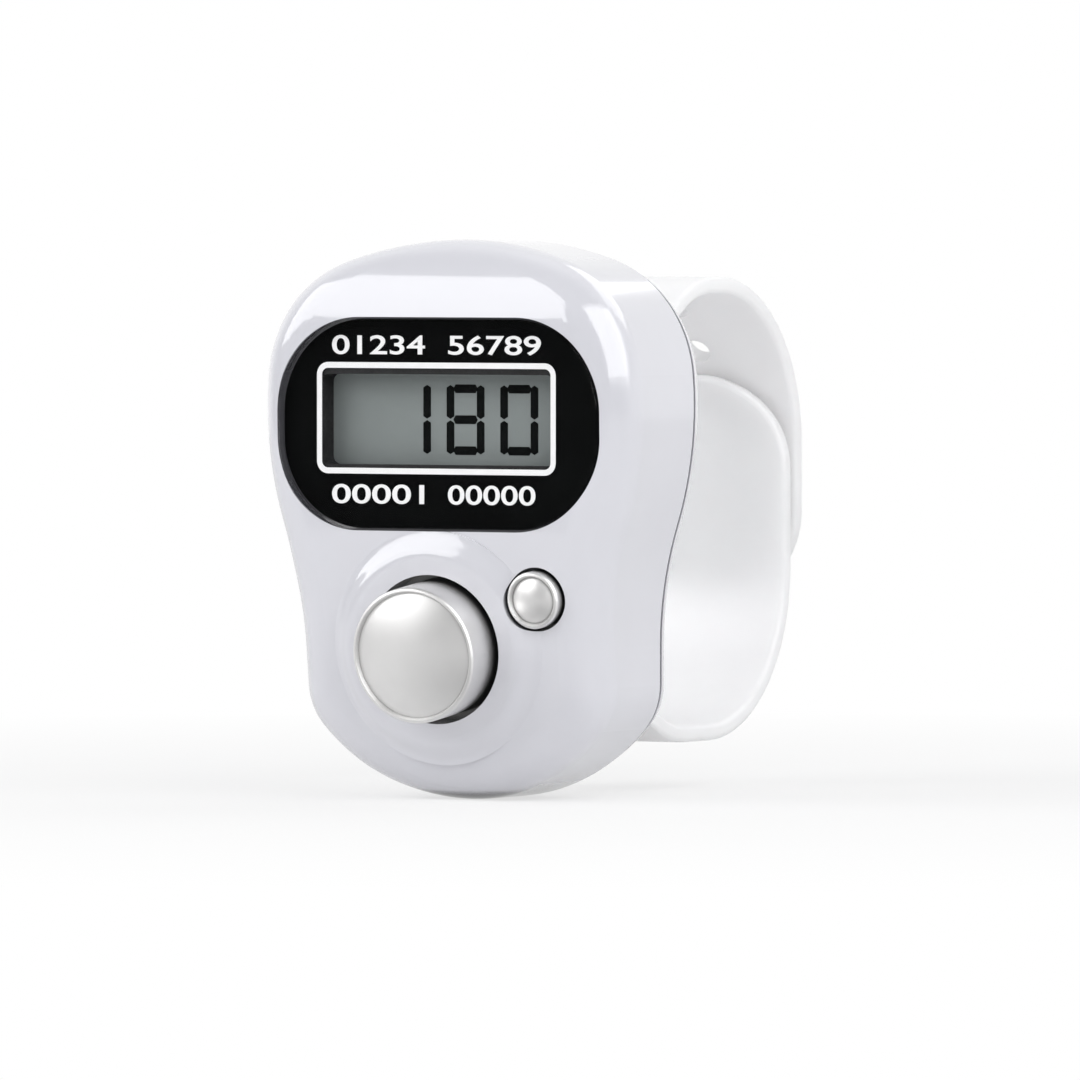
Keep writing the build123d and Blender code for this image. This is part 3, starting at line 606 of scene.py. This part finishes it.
toward = direction(PHOTO_YAW, PHOTO_RISE)
right = Vector((cos(PHOTO_YAW), sin(PHOTO_YAW), 0))
up = toward.cross(right)
aim_right = (PHOTO_SIZE / 2 - FACE_PIXEL[0]) / PIXELS_PER_MM * MM
aim_up = (FACE_PIXEL[1] - PHOTO_SIZE / 2) / PIXELS_PER_MM * MM
camera_data = bpy.data.cameras.new("camera")
camera_data.sensor_width = SENSOR
camera_data.lens = SENSOR * CAMERA_DISTANCE / MM * PIXELS_PER_MM / PHOTO_SIZE
camera_data.clip_start = CAMERA_NEAR
camera = bpy.data.objects.new("camera", camera_data)
camera.location = FACE_MIDDLE + right * aim_right + up * aim_up + toward * CAMERA_DISTANCE
camera.rotation_euler = toward.to_track_quat("Z", "Y").to_euler()
scene.collection.objects.link(camera)
scene.camera = camera


# Studio floor: white to the camera away from the object, with a painted shade spot in its mirrored glow
# that darkens the buttons' lower faces

FLOOR_SIZE = 1.0
FLOOR_MIDDLE = (0, 0, 0)
FLOOR_FADE_START = 30 * MM
FLOOR_FADE_END = 140 * MM
FLOOR_NEAR_GLOW = 0.68
FLOOR_MIRRORED_LEVEL = 0.78
# Painted shade: a dim spot in the floor's glow where glossy rays see it, so the buttons' lower faces
# mirror a darker floor
SHADE_SPOT_MIDDLE = (12 * MM, -46 * MM, 0)
SHADE_SPOT_LEVEL = 0.2
SHADE_SPOT_INNER = 6 * MM
SHADE_SPOT_OUTER = 24 * MM


def floor_paper():
    """Pale paper that fades into the white surround away from the object, with a painted shade spot that
    glossy surfaces mirror.
    """
    material, tree, shader = start_material("floor_paper")
    patches = noise(tree, size=40 * MM, detail=2)
    colour_between(
        tree, patches, low=(0.84, 0.84, 0.84), high=(0.86, 0.86, 0.86), target=shader.inputs["Base Color"]
    )
    set_inputs(shader, {"Roughness": 0.7, "Specular IOR Level": 0.1})
    glow = new_node(tree, "ShaderNodeEmission")
    place = new_node(tree, "ShaderNodeTexCoord").outputs["Object"]
    path = new_node(tree, "ShaderNodeLightPath")
    direct = path.outputs["Is Camera Ray"]
    # Painted shade: the mirrored glow dims towards the spot's middle
    off_shade_spot = distance_from(tree, place, SHADE_SPOT_MIDDLE)
    mirrored = map_range(tree, off_shade_spot, SHADE_SPOT_INNER, SHADE_SPOT_OUTER, SHADE_SPOT_LEVEL, FLOOR_MIRRORED_LEVEL)
    link(tree, calculate(tree, "MAXIMUM", direct, mirrored), glow.inputs["Strength"])
    off_middle = distance_from(tree, place, FLOOR_MIDDLE)
    fade = map_range(tree, off_middle, FLOOR_FADE_START, FLOOR_FADE_END, FLOOR_NEAR_GLOW, 1)
    seen = calculate(tree, "MAXIMUM", direct, path.outputs["Is Glossy Ray"])
    share = calculate(tree, "MULTIPLY", fade, seen)
    output = tree.nodes["Material Output"]
    mix_shaders(tree, share, shader.outputs["BSDF"], glow.outputs["Emission"], output)
    return material


half_floor = FLOOR_SIZE / 2
floor_corners = [
    (-half_floor, -half_floor, 0),
    (half_floor, -half_floor, 0),
    (half_floor, half_floor, 0),
    (-half_floor, half_floor, 0),
]
floor_mesh = bpy.data.meshes.new("floor")
floor_mesh.from_pydata(floor_corners, [], [(0, 1, 2, 3)])
floor_mesh.materials.append(floor_paper())
floor = bpy.data.objects.new("floor", floor_mesh)
floor.location.z = cad_box[0].z
scene.collection.objects.link(floor)


# White surround

AMBIENT = 0.41
AMBIENT_COLOUR = (0.97, 0.98, 1.0, 1)
WHITE = (1, 1, 1, 1)
FRONT_GLOSS = 0.2
BEHIND_START = -0.2
BEHIND_END = 0.3


def surround(tree):
    """White behind the object, dimmer in front of it for mirrored rays, and an even level for the rest."""
    tree.nodes.clear()
    output = new_node(tree, "ShaderNodeOutputWorld")
    even = new_node(tree, "ShaderNodeBackground")
    set_inputs(even, {"Color": AMBIENT_COLOUR, "Strength": AMBIENT})
    shown = new_node(tree, "ShaderNodeBackground")
    set_inputs(shown, {"Color": WHITE})
    place = new_node(tree, "ShaderNodeTexCoord")
    split = new_node(tree, "ShaderNodeSeparateXYZ")
    link(tree, place.outputs["Generated"], split.inputs["Vector"])
    path = new_node(tree, "ShaderNodeLightPath")
    direct = path.outputs["Is Camera Ray"]
    mirrored = map_range(tree, split.outputs["Y"], BEHIND_START, BEHIND_END, FRONT_GLOSS, 1)
    link(tree, calculate(tree, "MAXIMUM", mirrored, direct), shown.inputs["Strength"])
    direct_or_mirrored = calculate(tree, "MAXIMUM", direct, path.outputs["Is Glossy Ray"])
    seen = calculate(tree, "MAXIMUM", direct_or_mirrored, path.outputs["Is Transmission Ray"])
    mix_shaders(tree, seen, even.outputs["Background"], shown.outputs["Background"], output)


world = bpy.data.worlds.new("studio")
world.use_nodes = True
scene.world = world
surround(world.node_tree)


# Soft boxes, with angles in degrees and sizes in metres

def soft_box(name, azimuth, elevation, distance, width, height, power):
    """Rectangular lamp that faces the object."""
    outward = direction(radians(azimuth), radians(elevation))
    lamp = bpy.data.lights.new(name, "AREA")
    lamp.shape = "RECTANGLE"
    lamp.size = width
    lamp.size_y = height
    lamp.energy = power
    holder = bpy.data.objects.new(name, lamp)
    holder.location = FACE_MIDDLE + outward * distance
    holder.rotation_euler = outward.to_track_quat("Z", "Y").to_euler()
    scene.collection.objects.link(holder)
    return holder


soft_box("key_box", azimuth=-50, elevation=30, distance=0.45, width=0.50, height=0.30, power=1.15)
soft_box("side_box", azimuth=68, elevation=32, distance=0.45, width=0.50, height=0.42, power=1.2)
soft_box("back_box", azimuth=160, elevation=45, distance=0.50, width=0.40, height=0.25, power=0.4)

# Bright card that shows in glossy surfaces alone, as a highlight
card = soft_box("side_card", azimuth=70, elevation=33, distance=0.45, width=0.58, height=0.48, power=1.0)
card.visible_diffuse = False
card.visible_transmission = False

scene.view_settings.view_transform = "Standard"
